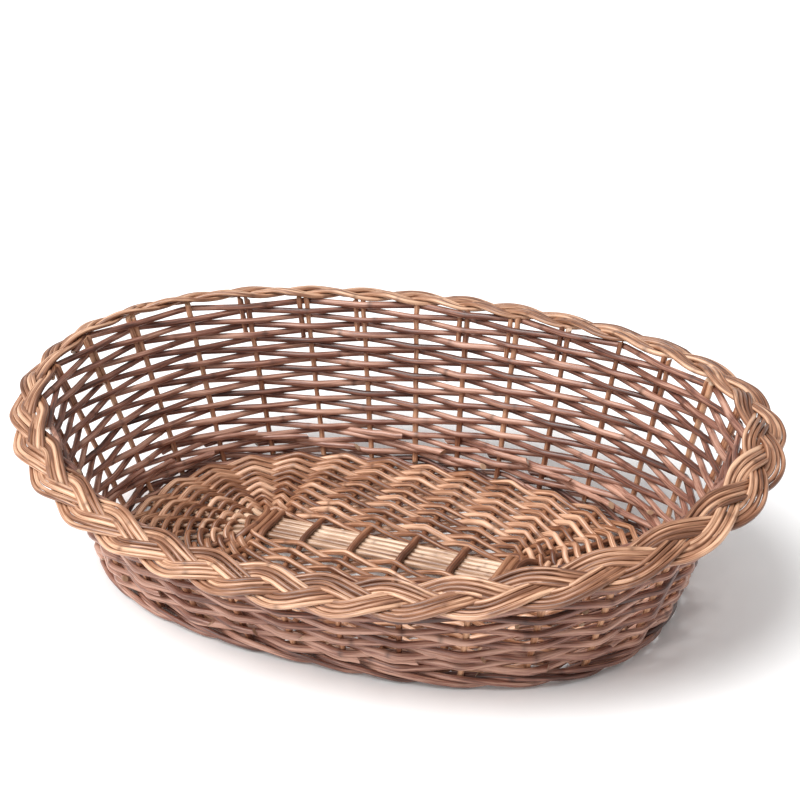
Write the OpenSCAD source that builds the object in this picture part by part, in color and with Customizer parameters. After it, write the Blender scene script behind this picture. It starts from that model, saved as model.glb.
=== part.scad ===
// Oval wicker pet bed: a stick-frame base, upright stakes, woven walls
// and a plaited border. X runs along the length, the entrance side is -Y,
// Z is up, and the origin is the middle of the footprint.

/* [Border] */
// Overall length over the border
rim_length = 805; // [775:5:835]
// Overall width over the border
rim_width = 550; // [530:5:570]
// Height of the border's top at the middle of the back
back_height = 205; // [198:1:212]
// Height of the border's top at the low entrance side
front_height = 133; // [126:1:140]
// Height of the border's top at both ends
end_height = 197; // [190:1:204]
// Width of the plaited band
band_width = 45; // [42:1:50]
// How far the band leans outwards and down, in degrees
band_lean = 24; // [15:1:32]
// Its lean in the middle of the back, where it lies flatter
back_lean = 15; // [12:1:24]

/* [Base] */
// Length of the floor at the foot of the wall
base_length = 588; // [574:2:602]
// Width of the floor at the foot of the wall
base_width = 382; // [370:2:394]
// Squareness of the floor's outline, where 2 is an ellipse
base_squareness = 2.5; // [2.2:0.1:2.8]
// Height of the floor's middle over its edge
crown = 4; // [2:0.5:6]

/* [Rods] */
// Diameter of a base stick
stick_dia = 7.4; // [6.8:0.2:7.8]
// Diameter of a cross stick
cross_stick_dia = 7.2; // [6.8:0.2:7.6]
// Diameter of a side stake
stake_dia = 6.2; // [5.6:0.2:6.6]
// Diameter of a weaving rod
weaver_dia = 6.4; // [5.4:0.2:6.4]
// Diameter of a rod of the border plait
plait_dia = 4.8; // [4.6:0.2:5.2]
// Distance from one woven side row to the next
row_pitch = 8.3; // [8:0.1:8.8]

/* [Hidden] */
stake_count = 30;
stake_step = 360 / stake_count;
// Shifts even angles so that their points lie evenly round the oval
angle_shift = 6;
long_stick_count = 5;
long_stick_pitch = stick_dia + 0.4;
cross_stick_xs = [-84, -28, 28, 84];
cluster_x = 139;
cluster_sticks = 3;
base_row_count = 10;
upsett_rod_count = 3;
stake_foot = 4;
bye_stake_length = 46;
bye_stake_shift = 1.5;
plait_strands = 3;
rods_per_strand = 4;
plait_periods = 11;
plait_start = 0.13;
plait_samples = 8;
rod_sides = 4;
stick_sides = 6;

// Border top height by angle: a mean, a front-to-back tilt and raised ends
side_mean = (back_height + front_height) / 2;
rim_mean = (end_height + side_mean) / 2;
rim_tilt = (back_height - front_height) / 2;
rim_boat = (end_height - side_mean) / 2;
plait_lift = 13.5;
band_reach = band_width / 2 * cos(band_lean);
band_half_length = rim_length / 2 - band_reach;
band_half_width = rim_width / 2 - band_reach;
band_squareness = 2.05;
wall_inset = 16;
wall_drop = 12;
foot_bulge = 3;
foot_bulge_height = 42;

upsett_pitch = 6.2;
upsett_floor = weaver_dia / 2 * 1.05;
first_row_z = upsett_floor + upsett_rod_count * upsett_pitch;
weave_offset = (stake_dia + weaver_dia) / 2 + 0.2;
stick_z = 10;
base_weave_offset = (stick_dia + weaver_dia) / 2 + 0.2;
slath_half_width = long_stick_count * long_stick_pitch / 2;
side_row_count = 1 + floor((back_height - wall_drop - first_row_z) / row_pitch);
pair_gap = weaver_dia * 0.56;

cream = "#ddbf95";
brown = "#8d5a38";
tan_brown = "#b07a4e";
plum_brown = "#7d5648";
light_tan = "#c1926a";

function two_digits(k) = k < 10 ? str("0", k) : str(k);
function names(stem, count) = [for (k = [1 : count]) str(stem, two_digits(k))];
sides_of_wall = ["front", "right", "back", "left"];

// ---- Outlines ----

function unit(v) = v / norm(v);
function superness(t, n) = pow(pow(abs(cos(t)), n) + pow(abs(sin(t)), n), -1 / n);
function oval(half_l, half_w, n, t) = [half_l * cos(t), half_w * sin(t)] * superness(t, n);
function rim_top(t) = rim_mean + rim_tilt * sin(t) + rim_boat * cos(2 * t);
function wall_top(t) = rim_top(t) - wall_drop;
function base_edge(t) = oval(base_length / 2, base_width / 2, base_squareness, t);
function band_line(t) = oval(band_half_length, band_half_width, band_squareness, t);
function wall_edge(t) =
    oval(band_half_length - wall_inset, band_half_width - wall_inset, band_squareness, t);

// Length of the band's middle line, summed round the oval
function sum(list, i = 0) = i < len(list) ? list[i] + sum(list, i + 1) : 0;
band_length = sum([for (t = [0 : 5 : 355]) norm(band_line(t + 5) - band_line(t))]);

// Outward direction of the wall in plan
function outward(t) =
    let (along = wall_edge(t + 1) - wall_edge(t - 1))
    unit([along.y, -along.x]);

// A point of the wall's middle surface, moved outwards by a distance
function wall_point(t, z, out) =
    let (
        part = min(1, max(0, z / wall_top(t))),
        curl = 1 - min(1, z / foot_bulge_height),
        bulge = foot_bulge * (1 - part) * sqrt(1 - curl * curl),
        plan = base_edge(t) * (1 - part) + wall_edge(t) * part + outward(t) * (bulge + out)
    )
    [plan.x, plan.y, z];

function even_angle(u) = u + angle_shift * sin(2 * u);
// Base sticks point at whole steps, and the stakes stand midway between them
function spoke_angle(i) = even_angle(i * stake_step);
function stake_angle(i) = even_angle((i + 0.5) * stake_step);

// Height of the floor's middle surface, domed towards the middle
function floor_z(p) =
    stick_z + crown * max(0, 1 - pow(norm([p.x / base_length, p.y / base_width]) * 2, 2));

// ---- Spokes: where each base stick leaves the middle and meets the edge ----

function spoke_end(i) = base_edge(spoke_angle(i)) * 0.985;
function mirrored(p, left, front) = [left ? -p.x : p.x, front ? -p.y : p.y];
// The first eight spokes fill the back right quarter, and the rest mirror them
function quarter_start(k) =
    k < 3 ? [cluster_x + cluster_sticks * cross_stick_dia / 2 + 3, k * long_stick_pitch]
    : k < 6 ? [cluster_x + (4 - k) * cross_stick_dia, slath_half_width]
    : [k == 6 ? cross_stick_xs[3] : cross_stick_xs[2], slath_half_width];
function spoke_start(i) =
    let (
        j = i % stake_count,
        half = stake_count / 2,
        front = j > half,
        k = front ? stake_count - j : j,
        left = k > half / 2
    )
    mirrored(quarter_start(left ? half - k : k), left, front);
function spoke_point(i, part) = spoke_start(i) * (1 - part) + spoke_end(i) * part;
function with_height(p) = [p.x, p.y, floor_z(p)];

// ---- Rods: a tube swept along a list of points ----

function corner(centre, along, ref, radius, sides) =
    let (side = unit(cross(along, ref)), up = cross(side, along))
    [for (k = [0 : sides - 1])
        let (a = 360 * (k + 0.5) / sides)
        centre + radius * (cos(a) * side + sin(a) * up)];

function tube_faces(rings, sides, closed) = [
    for (r = [0 : closed ? rings - 1 : rings - 2])
        for (k = [0 : sides - 1])
            let (
                a = r * sides + k,
                b = r * sides + (k + 1) % sides,
                c = (r + 1) % rings * sides + (k + 1) % sides,
                d = (r + 1) % rings * sides + k
            )
            for (f = [[a, b, c], [a, c, d]]) f
];

module loop_rod(path, radius, sides, ref = [0, 0, 1]) {
    n = len(path);
    points = [
        for (i = [0 : n - 1])
            for (p = corner(path[i], unit(path[(i + 1) % n] - path[(i + n - 1) % n]),
                ref, radius, sides)) p
    ];
    polyhedron(points, tube_faces(n, sides, true));
}

module open_rod(path, radius, sides, ref = [0, 0, 1]) {
    n = len(path);
    points = [
        for (i = [0 : n - 1])
            for (p = corner(path[i], unit(path[min(i + 1, n - 1)] - path[max(i - 1, 0)]),
                ref, radius, sides)) p
    ];
    caps = [
        [for (k = [sides - 1 : -1 : 0]) k],
        [for (k = [0 : sides - 1]) (n - 1) * sides + k]
    ];
    polyhedron(points, concat(tube_faces(n, sides, false), caps));
}

// ---- Base ----

// One long stick: straight through the middle, fanned out at both ends
module long_stick(k) {
    row = k - 1 - (long_stick_count - 1) / 2;
    y = row * long_stick_pitch;
    right_spoke = (row + stake_count) % stake_count;
    left_spoke = stake_count / 2 - row;
    path = [
        spoke_end(left_spoke), spoke_start(left_spoke), [-60, y], [0, y], [60, y],
        spoke_start(right_spoke), spoke_end(right_spoke)
    ];
    color(cream) open_rod([for (p = path) with_height(p)], stick_dia / 2, stick_sides);
}

// A cross stick lies over the long sticks and runs to the floor's edge
module cross_stick_rod(back_spoke, front_spoke) {
    over = [0, 0, (stick_dia + cross_stick_dia) / 2 * 0.85];
    a = spoke_start(back_spoke);
    b = spoke_start(front_spoke);
    path = [
        with_height(spoke_end(front_spoke)), with_height(spoke_point(front_spoke, 0.12)),
        with_height(b) + over, with_height(a) + over,
        with_height(spoke_point(back_spoke, 0.12)), with_height(spoke_end(back_spoke))
    ];
    color(brown) open_rod(path, cross_stick_dia / 2, stick_sides);
}

module cross_stick(k) {
    back_spoke = 6 + len(cross_stick_xs) - k;
    cross_stick_rod(back_spoke, stake_count - back_spoke);
}

module cross_sticks(first_spoke) {
    for (i = [first_spoke : first_spoke + cluster_sticks - 1])
        cross_stick_rod(i, stake_count - i);
}

// One base row: two rods that pass each stick on opposite faces
module base_row(k) {
    part = (k - 0.35) / base_row_count;
    for (rod = [0, 1])
        color(tan_brown)
            loop_rod([
                for (i = [0 : stake_count - 1])
                    let (
                        at_stick = spoke_point(i, part),
                        p = at_stick + unit(at_stick) * (rod - 0.5) * 2 * pair_gap,
                        over = (i + rod + k) % 2 == 0 ? 1 : -1
                    )
                    with_height(p) + [0, 0, over * base_weave_offset]
            ], weaver_dia / 2, rod_sides);
}

// ---- Walls ----

// Foot of the wall: each rod passes outside two stakes and inside one
module upsett_rod(k) {
    color(plum_brown)
        loop_rod([
            for (i = [0 : stake_count - 1])
                wall_point(stake_angle(i), upsett_floor + (k - 1) * upsett_pitch,
                    (i + k) % upsett_rod_count == 0 ? -weave_offset : weave_offset)
        ], upsett_floor / cos(45), rod_sides);
}

// One upright rod of the wall, from its foot to its top
module upright(t, foot, top) {
    path = [for (s = [0 : 0.25 : 1]) wall_point(t, foot + (top - foot) * s, 0)];
    color(brown) open_rod(path, stake_dia / 2, rod_sides, [-sin(t), cos(t), 0]);
}

// The stakes of one side, which end in the border
module stakes(first, last) {
    for (i = [first : last])
        upright(stake_angle(i), stake_foot, wall_top(stake_angle(i)));
}

// Bye-stakes are short rods pushed in beside three stakes in four, just under the border
module bye_stakes(first) {
    for (i = [first : first + stake_count / 2 - 1])
        if (i % 4 != 0) {
            t = stake_angle(i) + bye_stake_shift;
            upright(t, wall_top(t) - bye_stake_length, wall_top(t) - stake_dia / 2);
        }
}

// One side row: full rings while the low front still reaches them, then
// partial rows that end under the border at either side of the entrance
function row_z(k) = first_row_z + (k - 1) * row_pitch;
function row_spans(k, i) = row_z(k) + 1 < wall_top(stake_angle(i));
module side_row(k) {
    start = -floor(stake_count / 4);
    path = [
        for (i = [start : start + stake_count - 1])
            if (row_spans(k, i))
                wall_point(stake_angle(i), row_z(k),
                    (i + k - start) % 2 == 0 ? weave_offset : -weave_offset)
    ];
    color(plum_brown)
        if (len(path) == stake_count) loop_rod(path, weaver_dia / 2, rod_sides);
        else open_rod(path, weaver_dia / 2, rod_sides);
}

// ---- Border ----

// A point of the plaited band: across is measured outwards and down, over is square to it
function band_point(t, across, over) =
    let (
        lean = band_lean - (band_lean - back_lean) * max(0, sin(t)),
        plan = band_line(t) + outward(t) * (across * cos(lean) + over * sin(lean)),
        z = rim_top(t) - plait_lift - across * sin(lean) + over * cos(lean)
    )
    [plan.x, plan.y, z];

// Three strands cross like a flat braid, each of four rods side by side. A strand
// comes from either edge over its neighbour, then dives below the next one.
module border_strand(k) {
    strand_half = rods_per_strand * plait_dia / 2;
    swing = band_width / 2 - strand_half;
    lift = plait_dia * 0.6;
    count = plait_periods * plait_samples;
    for (rod = [0 : rods_per_strand - 1])
        color(light_tan)
            loop_rod([
                for (i = [0 : count - 1])
                    let (
                        phase = 360 * (i / plait_samples - plait_start + k / plait_strands),
                        slope = atan(swing * cos(phase) * 2 * PI * plait_periods / band_length),
                        beside = (rod - 1) * plait_dia,
                        t = even_angle(360 * (i / count - beside * sin(slope) / band_length))
                    )
                    band_point(t, swing * sin(phase) + beside * cos(slope), -lift * sin(2 * phase))
            ], plait_dia / 2, rod_sides);
}

for (k = [1 : long_stick_count])
    long_stick(k);
for (k = [1 : len(cross_stick_xs)])
    cross_stick(k);
cross_sticks(10);  // cross_sticks_left
cross_sticks(3);  // cross_sticks_right
for (k = [1 : base_row_count])
    base_row(k);
for (k = [1 : upsett_rod_count])
    upsett_rod(k);
stakes(19, 25);  // stakes_front
stakes(26, 33);  // stakes_right
stakes(4, 10);  // stakes_back
stakes(11, 18);  // stakes_left
bye_stakes(15);  // bye_stakes_front
bye_stakes(0);  // bye_stakes_back
for (k = [1 : side_row_count])
    side_row(k);
for (k = [1 : plait_strands])
    border_strand(k);
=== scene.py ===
"""Oval wicker pet bed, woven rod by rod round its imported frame.

Every rod of willow is a swept round tube with its own taper, bud knots, tone and cut
ends. Each woven piece stands for the CAD node of the same name and rides on its body.
Lengths are in metres unless a name says otherwise. Angles run round the basket from +X,
and a stake coordinate counts stakes: a whole number is a stake, a half is a gap.
"""

import logging
import math
from dataclasses import dataclass, field
from enum import Enum

import bpy
import numpy as np
from mathutils import Matrix, Vector


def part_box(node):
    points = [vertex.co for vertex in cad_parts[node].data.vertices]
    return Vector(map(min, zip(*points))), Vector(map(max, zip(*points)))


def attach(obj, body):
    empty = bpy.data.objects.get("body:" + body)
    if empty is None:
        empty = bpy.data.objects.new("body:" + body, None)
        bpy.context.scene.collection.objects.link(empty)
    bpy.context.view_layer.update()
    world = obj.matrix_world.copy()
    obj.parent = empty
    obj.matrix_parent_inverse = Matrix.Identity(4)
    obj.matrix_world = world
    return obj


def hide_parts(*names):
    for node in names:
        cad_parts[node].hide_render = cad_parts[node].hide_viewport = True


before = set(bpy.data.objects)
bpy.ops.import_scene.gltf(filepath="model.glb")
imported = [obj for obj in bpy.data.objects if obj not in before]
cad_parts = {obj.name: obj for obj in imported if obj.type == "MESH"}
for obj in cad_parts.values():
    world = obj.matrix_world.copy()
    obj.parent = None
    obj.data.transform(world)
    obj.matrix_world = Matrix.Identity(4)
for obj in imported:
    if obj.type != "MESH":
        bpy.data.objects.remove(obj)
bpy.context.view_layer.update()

log = logging.getLogger("wicker_bed")
Array = np.ndarray
MM = 0.001
UP = np.array([0.0, 0.0, 1.0])
ROOT_BODY = "root"


class Slot(Enum):
    """The record's material slots, one for each kind of willow in the basket."""

    PEELED_STICK = "peeled_stick"
    BASE_STICK = "base_stick"
    BASE_WEAVE = "base_weave"
    WALL_WEAVE = "wall_weave"
    STAKE = "stake"
    BORDER_PLAIT = "border_plait"


# ---------------------------------------------------------------- finishes


@dataclass(frozen=True)
class Willow:
    """A varnished willow rod's finish, from its dark flecks to its lightest streaks."""

    slot: Slot
    dark: tuple[float, float, float]
    body: tuple[float, float, float]
    light: tuple[float, float, float]
    spread: float = 0.5
    roughness: float = 0.40
    coat: float = 0.28
    relief: float = 0.6
    relief_depth: float = 0.25 * MM
    coat_roughness: float = 0.24
    specular: float = 0.45
    pith: tuple[float, float, float] = (0.46, 0.30, 0.19)

    def material(self) -> bpy.types.Material:
        """Builds the node material.

        Returns:
            The material, which reads the rods' own attributes: grain, tone, knot and pith.
        """
        made = bpy.data.materials.new("willow_" + self.slot.value)
        made.use_nodes = True
        tree = made.node_tree
        shader = tree.nodes["Principled BSDF"]
        grain = self._attribute(tree, "grain").outputs["Vector"]
        streak = self._noise(tree, grain, (16.0, 520.0, 520.0), 3.0)
        fibre = self._noise(tree, grain, (60.0, 1500.0, 1500.0), 2.0)
        blotch = self._noise(tree, grain, (14.0, 45.0, 45.0), 2.0)
        tone = self._attribute(tree, "tone").outputs["Fac"]
        mixed = self._sum(tree, [(tone, self.spread), (streak, 1.3), (fibre, 0.7), (blotch, 1.0)])
        shade = self._ramp(tree, mixed)
        knot = self._attribute(tree, "knot").outputs["Fac"]
        shade = self._mix(tree, shade, knot, tuple(0.8 * c for c in self.dark), 0.6)
        pith = self._attribute(tree, "pith").outputs["Fac"]
        shade = self._mix(tree, shade, pith, self.pith, 0.8)
        tree.links.new(shade, shader.inputs["Base Color"])
        polish = tree.nodes.new("ShaderNodeMapRange")
        polish.inputs["To Min"].default_value = self.roughness - 0.10
        polish.inputs["To Max"].default_value = self.roughness + 0.16
        tree.links.new(blotch, polish.inputs["Value"])
        tree.links.new(polish.outputs["Result"], shader.inputs["Roughness"])
        shader.inputs["Coat Weight"].default_value = self.coat
        shader.inputs["Coat Roughness"].default_value = self.coat_roughness
        shader.inputs["Specular IOR Level"].default_value = self.specular
        bump = tree.nodes.new("ShaderNodeBump")
        bump.inputs["Strength"].default_value = self.relief
        bump.inputs["Distance"].default_value = self.relief_depth
        lines = self._sum(tree, [(streak, 0.6), (fibre, 0.4)])
        tree.links.new(lines, bump.inputs["Height"])
        tree.links.new(bump.outputs["Normal"], shader.inputs["Normal"])
        return made

    @staticmethod
    def _attribute(tree: bpy.types.NodeTree, name: str) -> bpy.types.Node:
        """Adds a node that reads one of the rods' attributes.

        Args:
            tree: the material's node tree.
            name: the attribute's name.

        Returns:
            The new node.
        """
        node = tree.nodes.new("ShaderNodeAttribute")
        node.attribute_name = name
        return node

    @staticmethod
    def _noise(
        tree: bpy.types.NodeTree,
        vector: bpy.types.NodeSocket,
        scale: tuple[float, float, float],
        detail: float,
    ) -> bpy.types.NodeSocket:
        """Adds noise stretched along the rod.

        Args:
            tree: the material's node tree.
            vector: the rod's own coordinates, in metres.
            scale: cycles per metre along the rod and across it.
            detail: octaves of finer noise.

        Returns:
            The noise value, from 0 to 1.
        """
        stretch = tree.nodes.new("ShaderNodeMapping")
        stretch.inputs["Scale"].default_value = scale
        tree.links.new(vector, stretch.inputs["Vector"])
        noise = tree.nodes.new("ShaderNodeTexNoise")
        noise.inputs["Scale"].default_value = 1.0
        noise.inputs["Detail"].default_value = detail
        tree.links.new(stretch.outputs["Vector"], noise.inputs["Vector"])
        return noise.outputs["Fac"]

    @staticmethod
    def _sum(
        tree: bpy.types.NodeTree, terms: list[tuple[bpy.types.NodeSocket, float]]
    ) -> bpy.types.NodeSocket:
        """Adds values about 0.5, each with its weight, and centres the sum on 0.5.

        Args:
            tree: the material's node tree.
            terms: each value with its weight.

        Returns:
            The sum.
        """
        total = None
        for value, weight in terms:
            node = tree.nodes.new("ShaderNodeMath")
            node.operation = "MULTIPLY_ADD"
            tree.links.new(value, node.inputs[0])
            node.inputs[1].default_value = weight
            if total is None:
                node.inputs[2].default_value = 0.5 - 0.5 * sum(w for _, w in terms)
            else:
                tree.links.new(total, node.inputs[2])
            total = node.outputs[0]
        return total

    def _ramp(
        self, tree: bpy.types.NodeTree, value: bpy.types.NodeSocket
    ) -> bpy.types.NodeSocket:
        """Turns a value from 0 to 1 into willow colours from dark to light.

        Args:
            tree: the material's node tree.
            value: the value.

        Returns:
            The colour.
        """
        ramp = tree.nodes.new("ShaderNodeValToRGB")
        stops = ramp.color_ramp.elements
        stops[0].position = 0.17
        stops[0].color = (*self.dark, 1.0)
        stops[1].position = 0.83
        stops[1].color = (*self.light, 1.0)
        middle = stops.new(0.5)
        middle.color = (*self.body, 1.0)
        tree.links.new(value, ramp.inputs["Fac"])
        return ramp.outputs["Color"]

    @staticmethod
    def _mix(
        tree: bpy.types.NodeTree,
        under: bpy.types.NodeSocket,
        mask: bpy.types.NodeSocket,
        colour: tuple[float, float, float],
        amount: float,
    ) -> bpy.types.NodeSocket:
        """Lays a colour over another where a mask is on.

        Args:
            tree: the material's node tree.
            under: the colour below.
            mask: where the new colour shows, from 0 to 1.
            colour: the new colour.
            amount: how strongly it covers.

        Returns:
            The mixed colour.
        """
        strength = tree.nodes.new("ShaderNodeMath")
        strength.operation = "MULTIPLY"
        tree.links.new(mask, strength.inputs[0])
        strength.inputs[1].default_value = amount
        mix = tree.nodes.new("ShaderNodeMix")
        mix.data_type = "RGBA"
        tree.links.new(strength.outputs[0], mix.inputs["Factor"])
        tree.links.new(under, mix.inputs["A"])
        mix.inputs["B"].default_value = (*colour, 1.0)
        return mix.outputs["Result"]


FINISHES = (
    Willow(Slot.PEELED_STICK, (0.20, 0.09, 0.045), (0.47, 0.285, 0.18), (0.78, 0.57, 0.41), 0.4),
    Willow(Slot.BASE_STICK, (0.08, 0.028, 0.013), (0.22, 0.085, 0.042), (0.40, 0.19, 0.10), 0.4),
    Willow(Slot.BASE_WEAVE, (0.11, 0.034, 0.014), (0.35, 0.152, 0.075), (0.74, 0.44, 0.285), 0.45),
    Willow(Slot.WALL_WEAVE, (0.05, 0.016, 0.010), (0.235, 0.093, 0.061), (0.55, 0.31, 0.225), 0.5),
    Willow(Slot.STAKE, (0.15, 0.05, 0.024), (0.38, 0.165, 0.085), (0.62, 0.34, 0.20), 0.5),
    Willow(Slot.BORDER_PLAIT, (0.11, 0.038, 0.016), (0.33, 0.15, 0.08), (0.70, 0.43, 0.275), 0.38),
)


# ---------------------------------------------------------------- the basket's shape


def column(values: Array) -> Array:
    """Turns a row of numbers into a column."""
    return np.asarray(values, dtype=float).reshape(-1, 1)


def unit(vectors: Array) -> Array:
    """Scales each row to length 1."""
    return vectors / np.maximum(np.linalg.norm(vectors, axis=-1, keepdims=True), 1e-12)


def oval(half_length: float, half_width: float, squareness: float, t: Array) -> Array:
    """Points of a squared-off oval.

    Args:
        half_length: half of its length, along X.
        half_width: half of its width, along Y.
        squareness: 2 for an ellipse, more for fuller corners.
        t: angles in radians.

    Returns:
        One X, Y row for each angle.
    """
    cos, sin = np.cos(t), np.sin(t)
    scale = (np.abs(cos) ** squareness + np.abs(sin) ** squareness) ** (-1 / squareness)
    return np.stack([half_length * cos * scale, half_width * sin * scale], axis=-1)


@dataclass
class BasketShape:
    """The curves that every rod follows: the floor, the flared wall and the border's band."""

    length: float = 805 * MM
    width: float = 550 * MM
    back_height: float = 205 * MM
    front_height: float = 133 * MM
    end_height: float = 197 * MM
    base_length: float = 588 * MM
    base_width: float = 382 * MM
    base_squareness: float = 2.5
    band_squareness: float = 2.05
    band_width: float = 45 * MM
    band_lean: float = math.radians(24)
    back_lean: float = math.radians(12)
    plait_lift: float = 13.5 * MM
    wall_inset: float = 16 * MM
    wall_drop: float = 12 * MM
    foot_bulge: float = 3 * MM
    foot_bulge_height: float = 42 * MM
    stick_z: float = 10.8 * MM
    crown: float = 4 * MM
    stick_dia: float = 7.4 * MM
    stick_gap: float = 0.4 * MM
    cross_dia: float = 7.2 * MM
    long_sticks: int = 5
    stakes: int = 30
    angle_shift: float = math.radians(6)
    cluster_x: float = 139 * MM
    cluster_gap: float = 3 * MM
    single_xs: tuple[float, float] = (28 * MM, 84 * MM)
    spoke_reach: float = 0.985

    @property
    def stake_step(self) -> float:
        """Angle from one stake to the next."""
        return 2 * math.pi / self.stakes

    @property
    def stick_pitch(self) -> float:
        """Distance from one long stick to the next."""
        return self.stick_dia + self.stick_gap

    @property
    def slath_half_width(self) -> float:
        """Half of the width of the long sticks side by side."""
        return self.long_sticks * self.stick_pitch / 2

    def even_angle(self, turn: Array) -> Array:
        """Angle that spaces things more evenly along the oval than equal turns would."""
        turn = np.asarray(turn, dtype=float)
        return turn + self.angle_shift * np.sin(2 * turn)

    def angle(self, stake: Array) -> Array:
        """Angle round the basket of a stake coordinate."""
        return self.even_angle((np.asarray(stake, dtype=float) + 0.5) * self.stake_step)

    def rim_top(self, t: Array) -> Array:
        """Height of the border's top, which is lowest in the middle of the front.

        Args:
            t: angles in radians.

        Returns:
            One height for each angle.
        """
        side = (self.back_height + self.front_height) / 2
        mean = (self.end_height + side) / 2
        tilt = (self.back_height - self.front_height) / 2
        boat = (self.end_height - side) / 2
        return mean + tilt * np.sin(t) + boat * np.cos(2 * t)

    def wall_top(self, t: Array) -> Array:
        """Height at which the wall goes into the border."""
        return self.rim_top(t) - self.wall_drop

    def band_line(self, t: Array) -> Array:
        """Middle line of the border's band in plan."""
        reach = self.band_width / 2 * math.cos(self.band_lean)
        return oval(self.length / 2 - reach, self.width / 2 - reach, self.band_squareness, t)

    def wall_edge(self, t: Array) -> Array:
        """Top edge of the wall in plan."""
        reach = self.band_width / 2 * math.cos(self.band_lean) + self.wall_inset
        return oval(self.length / 2 - reach, self.width / 2 - reach, self.band_squareness, t)

    def outward(self, t: Array) -> Array:
        """Outward direction in plan, square to the wall.

        Args:
            t: angles in radians.

        Returns:
            One X, Y row of length 1 for each angle.
        """
        step = math.radians(1)
        along = self.wall_edge(t + step) - self.wall_edge(t - step)
        return unit(np.stack([along[..., 1], -along[..., 0]], axis=-1))

    def wall_point(self, t: Array, z: Array, out: Array) -> Array:
        """Points on the wall, moved outwards.

        Args:
            t: angles in radians.
            z: heights.
            out: distances outwards from the wall's middle surface.

        Returns:
            One X, Y, Z row for each angle.
        """
        t = np.asarray(t, dtype=float)
        z = np.broadcast_to(np.asarray(z, dtype=float), t.shape)
        part = np.clip(z / self.wall_top(t), 0, 1)
        curl = 1 - np.clip(z / self.foot_bulge_height, 0, 1)
        bulge = self.foot_bulge * (1 - part) * np.sqrt(1 - curl * curl) + out
        base = oval(self.base_length / 2, self.base_width / 2, self.base_squareness, t)
        plan = base * column(1 - part) + self.wall_edge(t) * column(part)
        plan = plan + self.outward(t) * column(bulge)
        return np.column_stack([plan, z])

    def band_point(self, t: Array, across: Array, over: Array) -> Array:
        """Points on the leaning band of the border.

        Args:
            t: angles in radians.
            across: distances outwards and down across the band.
            over: distances off the band's upper face.

        Returns:
            One X, Y, Z row for each angle.
        """
        flatter = (self.band_lean - self.back_lean) * np.clip(np.sin(t), 0, 1)
        cos, sin = np.cos(self.band_lean - flatter), np.sin(self.band_lean - flatter)
        plan = self.band_line(t) + self.outward(t) * column(across * cos + over * sin)
        z = self.rim_top(t) - self.plait_lift - across * sin + over * cos
        return np.column_stack([plan, z])

    def floor_z(self, plan: Array) -> Array:
        """Height of the domed floor's middle surface at each X, Y row."""
        spread = np.linalg.norm(plan / np.array([self.base_length, self.base_width]), axis=-1) * 2
        return self.stick_z + self.crown * np.maximum(0, 1 - spread**2)

    def spoke_end(self, i: int) -> Array:
        """Where a base stick meets the floor's edge, in plan.

        Args:
            i: the stick's number round the floor, from 0 on +X.

        Returns:
            The X, Y point.
        """
        t = np.array([self.even_angle(i * self.stake_step)])
        half_length, half_width = self.base_length / 2, self.base_width / 2
        return oval(half_length, half_width, self.base_squareness, t)[0] * self.spoke_reach

    def spoke_start(self, i: int) -> Array:
        """Where a base stick leaves the middle of the floor, in plan.

        Args:
            i: the stick's number round the floor, from 0 on +X.

        Returns:
            The X, Y point.
        """
        j = i % self.stakes
        front = j > self.stakes / 2
        k = self.stakes - j if front else j
        left = k > self.stakes / 4
        k = self.stakes // 2 - k if left else k
        if k < 3:
            x, y = self.cluster_x + 1.5 * self.cross_dia + self.cluster_gap, k * self.stick_pitch
        elif k < 6:
            x, y = self.cluster_x + (4 - k) * self.cross_dia, self.slath_half_width
        else:
            x, y = self.single_xs[7 - k], self.slath_half_width
        return np.array([-x if left else x, -y if front else y])

    def spoke_point(self, i: int, part: float) -> Array:
        """A point part of the way along a base stick, in plan."""
        return self.spoke_start(i) * (1 - part) + self.spoke_end(i) * part


# ---------------------------------------------------------------- rods


@dataclass
class Rod:
    """One willow rod: the points it follows, its radius there and what sets its frame."""

    path: Array
    radius: Array
    reference: Array
    tone: float
    closed: bool = False
    knots: Array = field(default_factory=lambda: np.zeros(0))
    knot_swell: float = 0.10

    def lengths(self) -> Array:
        """Distance along the rod at each of its points."""
        steps = np.linalg.norm(np.diff(self.path, axis=0), axis=1)
        return np.concatenate([[0.0], np.cumsum(steps)])


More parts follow.
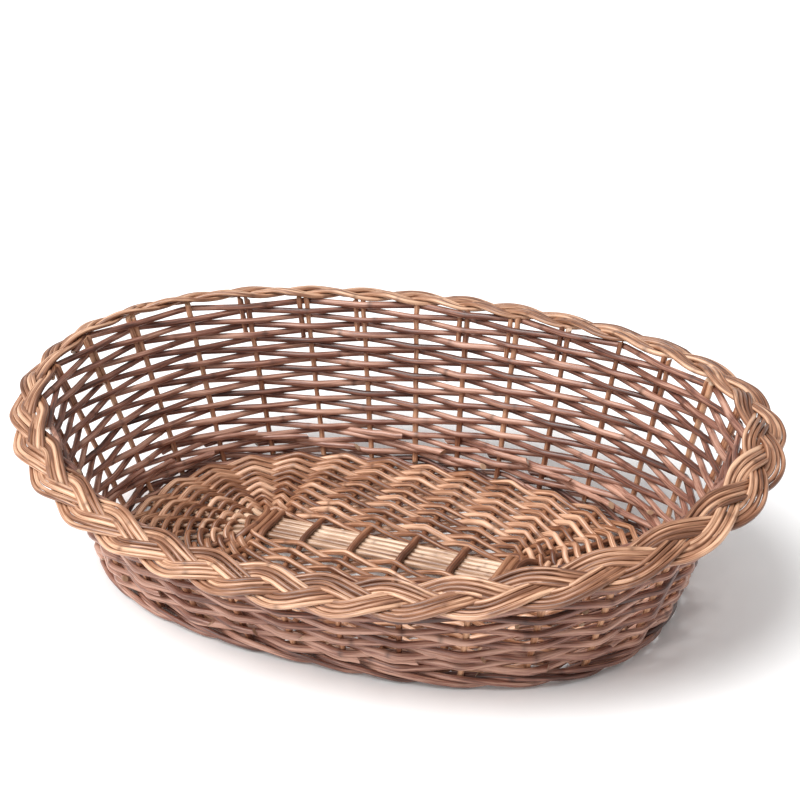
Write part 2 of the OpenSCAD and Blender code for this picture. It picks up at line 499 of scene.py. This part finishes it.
class RodBundle:
    """Collects rods and turns them into one mesh with the attributes that willow reads."""

    SIDES = 10
    KNOT_HALF_WIDTH = 2.2 * MM
    KNOT_GAPS = (45 * MM, 190 * MM)
    CUT_SLANT = 0.8
    JOIN_THINNING = 0.22
    SHARP_ANGLE = math.radians(55)

    def __init__(self, wardrobe: "Wardrobe", seed: int) -> None:
        """Starts an empty bundle with its own random draws.

        Args:
            wardrobe: the finishes that its piece is dressed from.
            seed: what its random draws start from.
        """
        self.wardrobe = wardrobe
        self.rng = np.random.default_rng(seed)
        self.rods: list[Rod] = []

    def add(
        self,
        path: Array,
        radius: float | Array,
        reference: Array = UP,
        closed: bool = False,
        taper: float = 0.10,
        wander: float = 0.35 * MM,
        tone: float | None = None,
    ) -> None:
        """Adds a rod with its own taper, knots, tone and small wandering.

        Args:
            path: the points it follows.
            radius: its mean radius, or one for each point.
            reference: a direction, or one for each point, that its cross-section keeps to.
            closed: whether the rod's end meets its start.
            taper: how much thinner and thicker it gets, as a share of the radius.
            wander: how far it strays from its path.
            tone: its lightness from 0 to 1, or None for a random one.
        """
        count = len(path)
        turn = np.linspace(0, 2 * math.pi, count, endpoint=not closed)
        stray = sum(
            self.rng.normal(size=3) / (1 + 0.35 * wave)
            * column(np.sin(wave * turn + self.rng.uniform(0, 2 * math.pi)))
            for wave in (3, 5, 8, 13, 19)
        )
        swell = np.sin(turn * self.rng.integers(1, 3) + self.rng.uniform(0, 2 * math.pi))
        rod = Rod(
            path=path + wander * stray,
            radius=radius * (1 + taper * swell),
            reference=np.broadcast_to(reference, path.shape),
            tone=float(self.rng.uniform()) if tone is None else tone,
            closed=closed,
        )
        total = rod.lengths()[-1]
        least, most = self.KNOT_GAPS
        gaps = self.rng.uniform(least, most, size=int(total / least) + 1)
        places = np.cumsum(gaps)
        rod.knots = places[places < total]
        self.rods.append(rod)

    def add_ring(
        self,
        path: Array,
        number: Array,
        joins: list[float],
        radius: float,
        reference: Array = UP,
        overlap: float = 0.3,
        fade: float = 0.8,
        apart: Array | None = None,
    ) -> None:
        """Adds a closed ring as several rods whose cut ends lie side by side.

        Args:
            path: the ring's points.
            number: each point's stake coordinate, rising all the way round.
            joins: the stake coordinates at which one rod ends and the next starts.
            radius: the rods' mean radius.
            reference: a direction, or one for each point, that the cross-sections keep to.
            overlap: how far the rods run on past a join, in stakes.
            fade: how far from a join the rods start to thin and to lean apart, in stakes.
            apart: how far each rod leans away from the join's middle, or None for not.
        """
        count = len(path)
        total = round(float(number[-1] + (number[-1] - number[-2])) - float(number[0]))
        reference = np.broadcast_to(reference, path.shape)
        wrapped = np.concatenate([number - total, number, number + total])
        for start, end in zip(joins, joins[1:] + [joins[0] + total]):
            here = (wrapped > start - overlap) & (wrapped < end + overlap)
            index = np.nonzero(here)[0]
            at = wrapped[index]
            points = path[index % count].copy()
            near_start = np.clip(1 - (at - start) / fade, 0, 1)
            near_end = np.clip(1 - (end - at) / fade, 0, 1)
            if apart is not None:
                points += column(near_end**2 * (3 - 2 * near_end)) * apart
                points -= column(near_start**2 * (3 - 2 * near_start)) * apart
            thin = 1 - self.JOIN_THINNING * np.maximum(near_start, near_end) ** 2
            size = radius * self.rng.uniform(0.92, 1.08)
            self.add(points, size * thin, reference[index % count], taper=0.08, wander=0.4 * MM)

    def build(self, name: str, slot: Slot, replaces: str) -> bpy.types.Object:
        """Makes the mesh object, dresses it and ties it to the frame.

        Args:
            name: the new piece's name.
            slot: the material slot it takes its finish from.
            replaces: the CAD node it stands for.

        Returns:
            The new piece.
        """
        tubes = [self._tube(rod, index) for index, rod in enumerate(self.rods)]
        points = np.concatenate([tube["points"] for tube in tubes])
        starts = np.cumsum([0] + [len(tube["points"]) for tube in tubes])
        corners = [c + start for tube, start in zip(tubes, starts) for c in tube["faces"]]
        mesh = bpy.data.meshes.new(name)
        sizes = np.array([len(c) for c in corners])
        mesh.vertices.add(len(points))
        mesh.vertices.foreach_set("co", points.astype(np.float32).ravel())
        mesh.loops.add(int(sizes.sum()))
        mesh.loops.foreach_set("vertex_index", np.concatenate(corners).astype(np.int32))
        mesh.polygons.add(len(sizes))
        loop_starts = np.concatenate([[0], np.cumsum(sizes)[:-1]])
        mesh.polygons.foreach_set("loop_start", loop_starts.astype(np.int32))
        mesh.update(calc_edges=True)
        mesh.polygons.foreach_set("use_smooth", np.ones(len(sizes), dtype=bool))
        self._store(mesh, "grain", "FLOAT_VECTOR", "POINT", tubes)
        self._store(mesh, "tone", "FLOAT", "POINT", tubes)
        self._store(mesh, "knot", "FLOAT", "POINT", tubes)
        self._store(mesh, "pith", "FLOAT", "FACE", tubes)
        mesh.set_sharp_from_angle(angle=self.SHARP_ANGLE)
        piece = bpy.data.objects.new(name, mesh)
        bpy.context.scene.collection.objects.link(piece)
        piece.data.materials.append(self.wardrobe.material(slot))
        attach(piece, ROOT_BODY)
        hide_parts(replaces)
        log.info("%s: %d rods, %d faces", name, len(self.rods), len(sizes))
        return piece

    @staticmethod
    def _store(
        mesh: bpy.types.Mesh, name: str, kind: str, domain: str, tubes: list[dict[str, Array]]
    ) -> None:
        """Writes one attribute of all the tubes to the mesh.

        Args:
            mesh: the mesh.
            name: the attribute's name, which is its key in each tube.
            kind: its data type.
            domain: whether it belongs to points or faces.
            tubes: the tubes in the mesh's order.
        """
        layer = mesh.attributes.new(name, kind, domain)
        values = np.concatenate([tube[name] for tube in tubes]).astype(np.float32)
        layer.data.foreach_set("vector" if kind == "FLOAT_VECTOR" else "value", values.ravel())

    def _tube(self, rod: Rod, index: int) -> dict[str, Array]:
        """Sweeps a round section along a rod.

        Args:
            rod: the rod.
            index: its number in the bundle, which keeps its grain apart from the others'.

        Returns:
            The tube's points, faces and attributes by name.
        """
        count, sides = len(rod.path), self.SIDES
        if rod.closed:
            ahead, behind = np.roll(rod.path, -1, axis=0), np.roll(rod.path, 1, axis=0)
        else:
            ahead = np.concatenate([rod.path[1:], rod.path[-1:]])
            behind = np.concatenate([rod.path[:1], rod.path[:-1]])
        along = unit(ahead - behind)
        beside = unit(np.cross(along, rod.reference))
        over = np.cross(beside, along)
        lengths = rod.lengths()
        knot = np.zeros(count)
        for place in rod.knots:
            knot = np.maximum(knot, np.exp(-(((lengths - place) / self.KNOT_HALF_WIDTH) ** 2)))
        radius = rod.radius * (1 + rod.knot_swell * knot)
        around = np.arange(sides) * 2 * math.pi / sides
        squash = 1 + 0.05 * np.cos(2 * around + self.rng.uniform(0, 2 * math.pi))
        cos, sin = np.cos(around) * squash, np.sin(around) * squash
        rings = (
            rod.path[:, None, :]
            + (radius[:, None] * cos)[..., None] * beside[:, None, :]
            + (radius[:, None] * sin)[..., None] * over[:, None, :]
        )
        if not rod.closed:
            slant = self.CUT_SLANT * radius[[0, -1], None]
            slant = slant * np.cos(around + self.rng.uniform(0, 6, (2, 1)))
            rings[0] += slant[0][:, None] * along[0]
            rings[-1] += slant[1][:, None] * along[-1]
        grain = np.empty((count, sides, 3))
        grain[..., 0] = (lengths + 3.1 * index)[:, None]
        grain[..., 1] = radius[:, None] * cos + 0.37 * index
        grain[..., 2] = radius[:, None] * sin
        quads = self._quads(count, sides, rod.closed)
        faces = list(quads)
        pith = [0.0] * len(quads)
        if not rod.closed:
            faces += [np.arange(sides)[::-1], (count - 1) * sides + np.arange(sides)]
            pith += [1.0, 1.0]
        return {
            "points": rings.reshape(-1, 3),
            "faces": faces,
            "grain": grain.reshape(-1, 3),
            "tone": np.full(count * sides, rod.tone),
            "knot": np.repeat(knot, sides),
            "pith": np.array(pith),
        }

    @staticmethod
    def _quads(count: int, sides: int, closed: bool) -> Array:
        """Faces between the rings of a tube, with their fronts outwards.

        Args:
            count: how many rings the tube has.
            sides: how many corners a ring has.
            closed: whether the last ring joins the first.

        Returns:
            Four corner numbers for each face.
        """
        ring = np.arange(count if closed else count - 1)[:, None]
        k = np.arange(sides)[None, :]
        after = (ring + 1) % count
        beyond = (k + 1) % sides
        corners = [ring * sides + k, ring * sides + beyond, after * sides + beyond, after * sides + k]
        return np.stack(np.broadcast_arrays(*corners), axis=-1).reshape(-1, 4)


@dataclass
class Wardrobe:
    """The willow finishes, each made into a material when it is first asked for."""

    finishes: tuple[Willow, ...]
    made: dict[Slot, bpy.types.Material] = field(default_factory=dict)

    def material(self, slot: Slot) -> bpy.types.Material:
        """The material of a slot.

        Args:
            slot: the slot.

        Returns:
            The material, made on the first call.
        """
        if slot not in self.made:
            finish = next(finish for finish in self.finishes if finish.slot == slot)
            self.made[slot] = finish.material()
        return self.made[slot]


def bent_wave(turn: Array, sharpness: float = 0.96) -> Array:
    """A wave of straight runs with tight bends, 1 at each whole even number of half turns.

    Args:
        turn: angles in radians.
        sharpness: near 0 for a smooth cosine, near 1 for a zigzag.

    Returns:
        Values from -1 to 1.
    """
    return np.arcsin(sharpness * np.cos(turn)) / math.asin(sharpness)


def stations(start: float, end: float, per_stake: int = 14) -> Array:
    """Evenly spaced stake coordinates from start to end."""
    return np.linspace(start, end, int(round(abs(end - start) * per_stake)) + 1)


def smooth_loop(corners: Array, spacing: float, softness: float) -> tuple[Array, Array]:
    """Rounds a closed polygon.

    Args:
        corners: its corners, one row each.
        spacing: distance between the new points.
        softness: how far the rounding reaches.

    Returns:
        The new points, and for each the number of its corner, with fractions between.
    """
    closed = np.concatenate([corners, corners[:1]])
    reach = np.concatenate([[0.0], np.cumsum(np.linalg.norm(np.diff(closed, axis=0), axis=1))])
    count = int(reach[-1] / spacing)
    at = np.arange(count) * reach[-1] / count
    number = np.interp(at, reach, np.arange(len(closed)))
    points = np.stack([np.interp(at, reach, closed[:, axis]) for axis in range(2)], axis=-1)
    offsets = np.minimum(np.arange(count), count - np.arange(count)) * reach[-1] / count
    kernel = np.exp(-0.5 * (offsets / softness) ** 2)
    kernel /= kernel.sum()
    wave = np.fft.fft(points, axis=0) * np.fft.fft(kernel)[:, None]
    return np.real(np.fft.ifft(wave, axis=0)), number


# ---------------------------------------------------------------- sub-assemblies


@dataclass
class Base:
    """The floor: five long sticks, ten cross sticks and ten rows of paired weaving."""

    shape: BasketShape
    wardrobe: Wardrobe
    rows: int
    weaver_dia: float = 6.4 * MM
    twist: float = 3.3 * MM
    straight_reach: float = 90 * MM
    fan_length: float = 60 * MM
    fan_thinning: float = 0.28
    cross_lift: float = 0.85
    cross_settle: float = 18 * MM

    def build_sticks(self) -> None:
        """Makes the long sticks, the single cross sticks and the two clusters."""
        shape = self.shape
        for k in range(shape.long_sticks):
            bundle = RodBundle(self.wardrobe, 100 + k)
            row = k - shape.long_sticks // 2
            y = row * shape.stick_pitch
            right, left = row % shape.stakes, shape.stakes // 2 - row
            corners = np.array([
                shape.spoke_end(left), shape.spoke_point(left, 0.5), shape.spoke_start(left),
                [-self.straight_reach, y], [0, y], [self.straight_reach, y],
                shape.spoke_start(right), shape.spoke_point(right, 0.5), shape.spoke_end(right),
            ])
            path = self._on_floor(self._curve(corners, 150))
            fan = np.clip((np.abs(path[:, 0]) - shape.cluster_x) / self.fan_length, 0, 1)
            radius = shape.stick_dia / 2 * (1 - self.fan_thinning * fan)
            bundle.add(path, radius, taper=0.03, wander=0.2 * MM)
            name = f"long_stick_{k + 1:02d}"
            bundle.build(name + "_willow", Slot.PEELED_STICK, name)
        for k in range(4):
            bundle = RodBundle(self.wardrobe, 120 + k)
            self._add_cross_stick(bundle, 9 - k)
            name = f"cross_stick_{k + 1:02d}"
            bundle.build(name + "_willow", Slot.BASE_STICK, name)
        for side, first in (("right", 3), ("left", 10)):
            bundle = RodBundle(self.wardrobe, 130 + first)
            for back in range(first, first + 3):
                self._add_cross_stick(bundle, back)
            bundle.build(f"cross_sticks_{side}_willow", Slot.BASE_STICK, f"cross_sticks_{side}")

    def build_weave(self) -> None:
        """Makes the rows of paired weaving, from the middle out."""
        shape = self.shape
        for k in range(1, self.rows + 1):
            part = (k - 0.35) / self.rows
            groups = self._groups(k)
            corners = np.array([
                np.mean([shape.spoke_point(i, part) for i in group], axis=0) for group in groups
            ])
            plan, number = smooth_loop(corners, 3.0 * MM, 3.5 * MM)
            phase = math.pi * (number + k)
            ahead = unit(np.roll(plan, -1, axis=0) - np.roll(plan, 1, axis=0))
            outside = np.stack([ahead[:, 1], -ahead[:, 0]], axis=-1)
            lift = (shape.stick_dia + self.weaver_dia) / 2
            bundle = RodBundle(self.wardrobe, 200 + k)
            for side in (1, -1):
                sway = side * self.twist * np.sin(phase)
                rise = side * lift * bent_wave(phase, 0.985)
                moved = plan + outside * column(sway)
                path = np.column_stack([moved, shape.floor_z(plan) + rise])
                bundle.add_ring(path, number, self._joins(bundle, k, side), self.weaver_dia / 2)
            name = f"base_row_{k:02d}"
            bundle.build(name + "_willow", Slot.BASE_WEAVE, name)

    def _joins(self, bundle: RodBundle, row: int, side: int) -> list[float]:
        """Picks the sticks under which a row's rods end and new ones start.

        Args:
            bundle: the row's bundle, which draws the first one.
            row: the row's number.
            side: 1 for the rod that starts over a stick, -1 for the other.

        Returns:
            The sticks' numbers, in order.
        """
        count = len(self._groups(row))
        under = [i for i in range(count) if ((i + row) % 2 == 0) == (side < 0)]
        first = int(bundle.rng.integers(len(under)))
        return sorted(under[(first + n * len(under) // 3) % len(under)] for n in range(3))

    def _groups(self, row: int) -> list[list[int]]:
        """Which base sticks each stroke of a row passes together: several at the middle.

        Args:
            row: the row's number.

        Returns:
            The sticks' numbers, one list for each stroke.
        """
        if row > 1:
            return [[i] for i in range(self.shape.stakes)]
        back = [[28, 29, 0, 1, 2], [3, 4, 5], [6], [7], [8], [9], [10, 11, 12]]
        front = [[18, 19, 20], [21], [22], [23], [24], [25, 26, 27]]
        return [*back, [13, 14, 15, 16, 17], *front]

    def _add_cross_stick(self, bundle: RodBundle, back: int) -> None:
        """Adds one cross stick, which runs from the front edge to the back edge.

        Args:
            bundle: the bundle it goes into.
            back: the number of its back end round the floor.
        """
        shape = self.shape
        front = shape.stakes - back
        corners = np.array([
            shape.spoke_end(front), shape.spoke_point(front, 0.5), shape.spoke_start(front),
            shape.spoke_start(back), shape.spoke_point(back, 0.5), shape.spoke_end(back),
        ])
        plan = self._curve(corners, 110)
        path = self._on_floor(plan)
        over = (shape.stick_dia + shape.cross_dia) / 2 * self.cross_lift
        beyond = np.abs(plan[:, 1]) - shape.slath_half_width
        fade = np.clip(beyond / self.cross_settle, 0, 1)
        path[:, 2] += over * (0.5 + 0.5 * np.cos(math.pi * fade))
        bundle.add(path, shape.cross_dia / 2, taper=0.05, wander=0.3 * MM)

    def _on_floor(self, plan: Array) -> Array:
        """Lifts plan points to the domed floor's middle surface."""
        return np.column_stack([plan, self.shape.floor_z(plan)])

    @staticmethod
    def _curve(corners: Array, count: int) -> Array:
        """A smooth open curve near the corners, at even spacing.

        Args:
            corners: X, Y rows that it passes near.
            count: how many points it has.

        Returns:
            The curve's X, Y rows.
        """
        reach = np.concatenate([[0], np.cumsum(np.linalg.norm(np.diff(corners, axis=0), axis=1))])
        at = np.linspace(0, reach[-1], count)
        points = np.stack([np.interp(at, reach, corners[:, a]) for a in range(2)], axis=-1)
        width = 7
        padded = np.concatenate([
            2 * points[0] - points[width:0:-1], points, 2 * points[-1] - points[-2:-width - 2:-1]
        ])
        kernel = np.hanning(2 * width + 1)
        kernel /= kernel.sum()
        return np.stack([np.convolve(padded[:, a], kernel, "valid") for a in range(2)], axis=-1)


@dataclass
class Walls:
    """The upsett ring, the stakes and bye-stakes, and the rows woven through them."""

    shape: BasketShape
    wardrobe: Wardrobe
    row_heights: list[float]
    stake_dia: float = 6.2 * MM
    weaver_dia: float = 7.0 * MM
    bye_stake_length: float = 46 * MM
    upsett_dia: float = 6.2 * MM
    upsett_rods: int = 3
    upsett_z: float = 10.1 * MM
    upsett_rise: float = 5.6 * MM
    squeeze: float = 4.5 * MM
    loose_rows: int = 3
    play: float = 0.2 * MM
    stake_foot: float = 12 * MM
    bye_stake_turn: float = math.radians(1.4)
    bye_stake_share: float = 0.94

    @property
    def weave_offset(self) -> float:
        """How far a weaver's middle stands off the wall's middle surface at a stake."""
        return (self.stake_dia + self.weaver_dia) / 2 + self.play

    def build_upsett(self) -> None:
        """Makes the rods that twist round the foot, outside two stakes and inside one."""
        shape = self.shape
        for k in range(1, self.upsett_rods + 1):
            bundle = RodBundle(self.wardrobe, 300 + k)
            stake = stations(0, shape.stakes)[:-1]
            phase = (stake + k) % self.upsett_rods
            beats = np.array([0.0, 0.9, 1.5, 2.1, 3.0])
            out = np.interp(phase, beats, [-1.0, 1.0, 1.15, 1.0, -1.0])
            rise = np.interp(phase, beats, [0.0, 1.0, 0.1, -1.0, 0.0])
            out, rise = self._soften(out), self._soften(rise)
            path = shape.wall_point(
                shape.angle(stake),
                self.upsett_z + self.upsett_rise * rise,
                out * self.weave_offset,
            )
            inside = [i for i in range(shape.stakes) if (i + k) % self.upsett_rods == 0]
            joins = [float(inside[n + k % 3]) for n in (0, 3, 6)]
            bundle.add_ring(path, stake, joins, self.upsett_dia / 2, apart=UP * MM)
            name = f"upsett_rod_{k:02d}"
            bundle.build(name + "_willow", Slot.WALL_WEAVE, name)

    def build_stakes(self) -> None:
        """Makes the stakes, a quarter of the wall at a time, and the bye-stakes."""
        shape = self.shape
        sides = {"front": (19, 25), "right": (26, 33), "back": (4, 10), "left": (11, 18)}
        for side, (first, last) in sides.items():
            bundle = RodBundle(self.wardrobe, 400 + first)
            for i in range(first, last + 1):
                t = float(shape.angle(i))
                path = self._upright(t, self.stake_foot, self._hidden_top(t))
                bundle.add(path, self.stake_dia / 2, self._tangent(t), taper=0.08)
            bundle.build(f"stakes_{side}_willow", Slot.STAKE, f"stakes_{side}")
        for side, first in (("front", 15), ("back", 0)):
            bundle = RodBundle(self.wardrobe, 430 + first)
            for i in range(first, first + shape.stakes // 2):
                if i % 4:
                    t = float(shape.angle(i)) + self.bye_stake_turn
                    top = self._hidden_top(t)
                    length = self.bye_stake_length * bundle.rng.uniform(0.8, 1.15)
                    path = self._upright(t, top - length, top)
                    radius = self.stake_dia / 2 * self.bye_stake_share
                    bundle.add(path, radius, self._tangent(t), wander=0.1 * MM)
            bundle.build(f"bye_stakes_{side}_willow", Slot.STAKE, f"bye_stakes_{side}")

    def build_rows(self) -> None:
        """Makes the side rows: full rings first, then short ones round the back and ends."""
        shape = self.shape
        for k, height in enumerate(self.row_heights, start=1):
            start = -(shape.stakes // 4)
            reached = [
                i for i in range(start, start + shape.stakes)
                if height + MM < float(shape.wall_top(float(shape.angle(i))))
            ]
            full = len(reached) == shape.stakes
            stake = stations(start, start + shape.stakes)[:-1] if full else (
                self._short_run(reached, height)
            )
            bundle = RodBundle(self.wardrobe, 500 + k)
            path = self._strung(stake, k - start, height, full)
            radius = self.weaver_dia / 2
            if full:
                inside = [i for i in reached if (i + k - start) % 2 and i < -1]
                joins = [float(inside[int(bundle.rng.integers(len(inside)))])]
                bundle.add_ring(path, stake, joins, radius, apart=UP * radius * 0.8)
            else:
                bundle.add(path, radius, taper=0.10, wander=0.4 * MM)
            if k <= self.loose_rows:
                self._add_loose_ends(bundle, k, height)
            name = f"side_row_{k:02d}"
            bundle.build(name + "_willow", Slot.WALL_WEAVE, name)

    def _strung(self, stake: Array, beat: int, height: float, full: bool) -> Array:
        """A weaver's path: straight from stake to stake, with a tight bend at each.

        Args:
            stake: the stake coordinates of its points.
            beat: added to a stake's number, even where the weaver passes outside it.
            height: the row's height.
            full: whether the row runs all the way round.

        Returns:
            The path's points.
        """
        whole = np.arange(math.floor(stake[0]) - 1, math.ceil(stake[-1]) + 2)
        t = self.shape.angle(whole)
        out = self.weave_offset * np.where((whole + beat) % 2 == 0, 1.0, -1.0)
        level = np.minimum(height, self.shape.wall_top(t) - MM)
        corners = self.shape.wall_point(t, level, out)
        path = np.stack([np.interp(stake, whole, corners[:, axis]) for axis in range(3)], axis=-1)
        for _ in range(3):
            if full:
                path = (np.roll(path, 1, axis=0) + 2 * path + np.roll(path, -1, axis=0)) / 4
            else:
                path[1:-1] = (path[:-2] + 2 * path[1:-1] + path[2:]) / 4
        return path

    def _short_run(self, reached: list[int], height: float) -> Array:
        """Stake coordinates of a short row, run on below the border until the room is gone.

        Args:
            reached: the stakes at which the wall is taller than the row.
            height: the row's height.

        Returns:
            The stake coordinates.
        """
        further = min(2.0, (self.shape.stakes - (reached[-1] - reached[0])) / 2 - 0.05)
        stake = stations(reached[0] - further, reached[-1] + further)
        room = self.shape.wall_top(self.shape.angle(stake)) - MM
        return stake[room > height - self.squeeze]

    def _add_loose_ends(self, bundle: RodBundle, row: int, height: float) -> None:
        """Adds the butt ends of the first weavers, which lie free inside the foot.

        Args:
            bundle: the row's bundle.
            row: the row's number.
            height: the row's height.
        """
        for i in range(row % 3, self.shape.stakes, 3):
            stake = stations(i + 1.3, i - 0.75)
            way = stake - i
            out = np.interp(way, [-0.75, 0.0, 0.9, 1.3], [-1.9, -1.15, 1.0, 0.7])
            rise = bundle.rng.uniform(2, 6) * MM * (1.3 - way) / 2 + 2 * MM
            path = self.shape.wall_point(
                self.shape.angle(stake), height + rise, out * self.weave_offset
            )
            bundle.add(path, self.weaver_dia / 2 * 0.92, tone=float(bundle.rng.uniform(0.5, 1)))

    def _hidden_top(self, t: float) -> float:
        """Height at which a stake's top is out of sight in the border's underside."""
        flatter = max(0.0, math.sin(t))
        return float(self.shape.wall_top(t)) + (1.5 - 4 * flatter) * MM

    def _upright(self, t: float, foot: float, top: float) -> Array:
        """Points up the wall at one angle, from a foot height to a top height."""
        z = np.linspace(foot, top, 40)
        return self.shape.wall_point(np.full_like(z, t), z, 0.0)

    @staticmethod
    def _tangent(t: float) -> Array:
        """The level direction along the wall at an angle."""
        return np.array([-math.sin(t), math.cos(t), 0.0])

    @staticmethod
    def _soften(values: Array, width: int = 6) -> Array:
        """Rounds the corners of a periodic zigzag.

        Args:
            values: one period of it.
            width: how many points the rounding reaches each way.

        Returns:
            The rounded values.
        """
        kernel = np.hanning(2 * width + 1)
        kernel /= kernel.sum()
        padded = np.concatenate([values[-width:], values, values[:width]])
        return np.convolve(padded, kernel, "valid")


@dataclass
class Border:
    """The plaited border: three strands of four rods each, braided flat."""

    shape: BasketShape
    wardrobe: Wardrobe
    rod_dia: float = 4.8 * MM
    strands: int = 3
    rods: int = 4
    periods: int = 11
    start: float = 0.13
    samples: int = 48

    def build(self) -> None:
        """Makes the strands."""
        shape = self.shape
        swing = shape.band_width / 2 - self.rods * self.rod_dia / 2
        lift = self.rod_dia * 0.6
        count = self.periods * self.samples
        turn = np.arange(count) / count
        line = shape.band_line(shape.even_angle(2 * math.pi * turn))
        round_length = float(np.linalg.norm(line - np.roll(line, 1, axis=0), axis=1).sum())
        pace = 2 * math.pi * self.periods / round_length
        for k in range(1, self.strands + 1):
            bundle = RodBundle(self.wardrobe, 600 + k)
            phase = 2 * math.pi * (turn * self.periods - self.start + k / self.strands)
            slope = np.arctan(swing * np.cos(phase) * pace)
            wave = np.sin(phase) - 0.05 * np.sin(3 * phase)
            for rod in range(self.rods):
                beside = (rod - (self.rods - 1) / 2) * self.rod_dia
                t = shape.even_angle(
                    2 * math.pi * (turn - beside * np.sin(slope) / round_length)
                )
                across = swing * wave + beside * np.cos(slope)
                over = -lift * np.sin(2 * phase)
                path = shape.band_point(t, across, over)
                lean = unit(shape.band_point(t, across, over + MM) - path)
                number = turn * self.periods
                joins = sorted(
                    (rod * 0.7 + n * 2.2 + self.start + (0.125 - k / self.strands) % 1)
                    % self.periods
                    for n in range(self.periods // 2)
                )
                bundle.add_ring(
                    path, number, joins, self.rod_dia / 2, lean, overlap=0.12, fade=0.15
                )
            name = f"border_strand_{k:02d}"
            bundle.build(name + "_willow", Slot.BORDER_PLAIT, name)


@dataclass
class Studio:
    """A pale floor, soft lights and the camera."""

    elevation: float = math.radians(28.1)
    azimuth: float = math.radians(25.9)
    roll: float = math.radians(-2.3)
    distance: float = 1.69
    target: Vector = field(default_factory=lambda: Vector((0, 0, 0.1)))
    lens: float = 74.5
    shift: tuple[float, float] = (0.024, 0.097)
    floor_half: float = 6.0
    floor_tone: float = 0.97
    sky_strength: float = 0.56
    sun_strength: float = 3.3
    sun_spread: float = math.radians(42)
    sun_direction: tuple[float, float, float] = (0.35, 0.42, -1.0)
    lamp_place: tuple[float, float, float] = (-0.9, -1.7, 1.1)
    lamp_size: float = 1.4
    lamp_power: float = 14.0

    def build(self) -> None:
        """Makes the floor, the lights and the camera."""
        self._floor()
        self._world()
        self._sun()
        self._front_light()
        self._camera()

    def _floor(self) -> None:
        """Makes the pale floor."""
        mesh = bpy.data.meshes.new("studio_floor")
        side = self.floor_half
        corners = [(-side, -side, 0), (side, -side, 0), (side, side, 0), (-side, side, 0)]
        mesh.from_pydata(corners, [], [(0, 1, 2, 3)])
        floor = bpy.data.objects.new("studio_floor", mesh)
        bpy.context.scene.collection.objects.link(floor)
        paint = bpy.data.materials.new("studio_paint")
        paint.use_nodes = True
        shader = paint.node_tree.nodes["Principled BSDF"]
        shader.inputs["Base Color"].default_value = (*[self.floor_tone] * 3, 1)
        shader.inputs["Roughness"].default_value = 0.9
        mesh.materials.append(paint)

    def _world(self) -> None:
        """Sets soft white light from all round."""
        world = bpy.data.worlds.new("studio_world")
        world.use_nodes = True
        sky = world.node_tree.nodes["Background"]
        sky.inputs["Color"].default_value = (1.0, 1.0, 1.0, 1)
        sky.inputs["Strength"].default_value = self.sky_strength
        bpy.context.scene.world = world
        bpy.context.scene.view_settings.view_transform = "Standard"

    def _sun(self) -> None:
        """Adds a soft light from high in front of the basket, to its left."""
        light = bpy.data.lights.new("top_light", "SUN")
        light.energy = self.sun_strength
        light.angle = self.sun_spread
        lamp = bpy.data.objects.new("top_light", light)
        lamp.rotation_euler = Vector(self.sun_direction).to_track_quat("-Z", "Y").to_euler()
        bpy.context.scene.collection.objects.link(lamp)

    def _front_light(self) -> None:
        """Adds a square light in front of the basket, aimed at it."""
        light = bpy.data.lights.new("front_light", "AREA")
        light.size = self.lamp_size
        light.energy = self.lamp_power
        lamp = bpy.data.objects.new("front_light", light)
        lamp.location = self.lamp_place
        aim = self.target - Vector(self.lamp_place)
        lamp.rotation_euler = aim.to_track_quat("-Z", "Y").to_euler()
        bpy.context.scene.collection.objects.link(lamp)

    def _camera(self) -> None:
        """Makes the camera and gives it to the scene."""
        cos_e, sin_e = math.cos(self.elevation), math.sin(self.elevation)
        cos_a, sin_a = math.cos(self.azimuth), math.sin(self.azimuth)
        back = Vector((sin_a * cos_e, -cos_a * cos_e, sin_e))
        level = Vector((cos_a, sin_a, 0.0))
        upright = back.cross(level)
        right = level * math.cos(self.roll) + upright * math.sin(self.roll)
        up = upright * math.cos(self.roll) - level * math.sin(self.roll)
        data = bpy.data.cameras.new("camera")
        data.lens = self.lens
        data.shift_x, data.shift_y = self.shift
        data.clip_end = 30
        camera = bpy.data.objects.new("camera", data)
        turn = Matrix((right, up, back)).transposed().to_4x4()
        camera.matrix_world = Matrix.Translation(self.target + back * self.distance) @ turn
        bpy.context.scene.collection.objects.link(camera)
        bpy.context.scene.camera = camera


def woven_height(node: str) -> float:
    """Height of the middle of a level CAD row."""
    low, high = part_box(node)
    return (low[2] + high[2]) / 2


def main() -> None:
    """Builds the basket, then the studio round it."""
    logging.basicConfig(level=logging.INFO, format="%(message)s")
    wardrobe = Wardrobe(FINISHES)
    shape = BasketShape()
    nodes = sorted(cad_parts)
    rows = [name for name in nodes if name.startswith("side_row_")]
    base_rows = [name for name in nodes if name.startswith("base_row_")]
    base = Base(shape, wardrobe, rows=len(base_rows))
    base.build_sticks()
    base.build_weave()
    walls = Walls(shape, wardrobe, row_heights=[woven_height(name) for name in rows])
    walls.build_upsett()
    walls.build_stakes()
    walls.build_rows()
    Border(shape, wardrobe).build()
    Studio().build()


if __name__ == "__main__":
    main()
